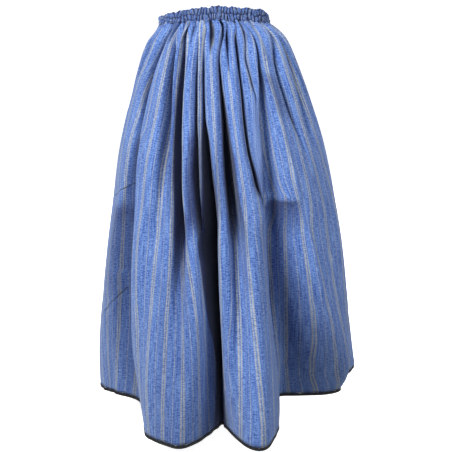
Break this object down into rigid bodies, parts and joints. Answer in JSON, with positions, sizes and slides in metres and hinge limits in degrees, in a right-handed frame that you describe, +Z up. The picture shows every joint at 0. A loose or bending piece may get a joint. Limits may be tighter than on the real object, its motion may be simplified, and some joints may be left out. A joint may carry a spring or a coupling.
{
  "type": "gathered skirt",
  "caption": "Long gathered skirt of striped blue cloth, held at the waist by a ruched band, falling in deep uneven folds to a narrow dark hem binding.",
  "frame": {"origin": "centre of the waist opening, at the height of the waistband", "axes": "+Z up, the front of the skirt faces -Y, +X is at the viewer's right when the front is seen"},
  "size_m": [0.6841, 0.6457, 0.9813],
  "materials": {
    "cloth": "heathered blue weave with pale stripes",
    "band": "ruched blue weave with pale stripes",
    "binding": "folded black bias tape"
  },
  "bodies": {
    "root": {"skirt_front": "cloth", "skirt_back": "cloth", "waistband": "band", "hem_binding": "binding"}
  },
  "joints": []
}
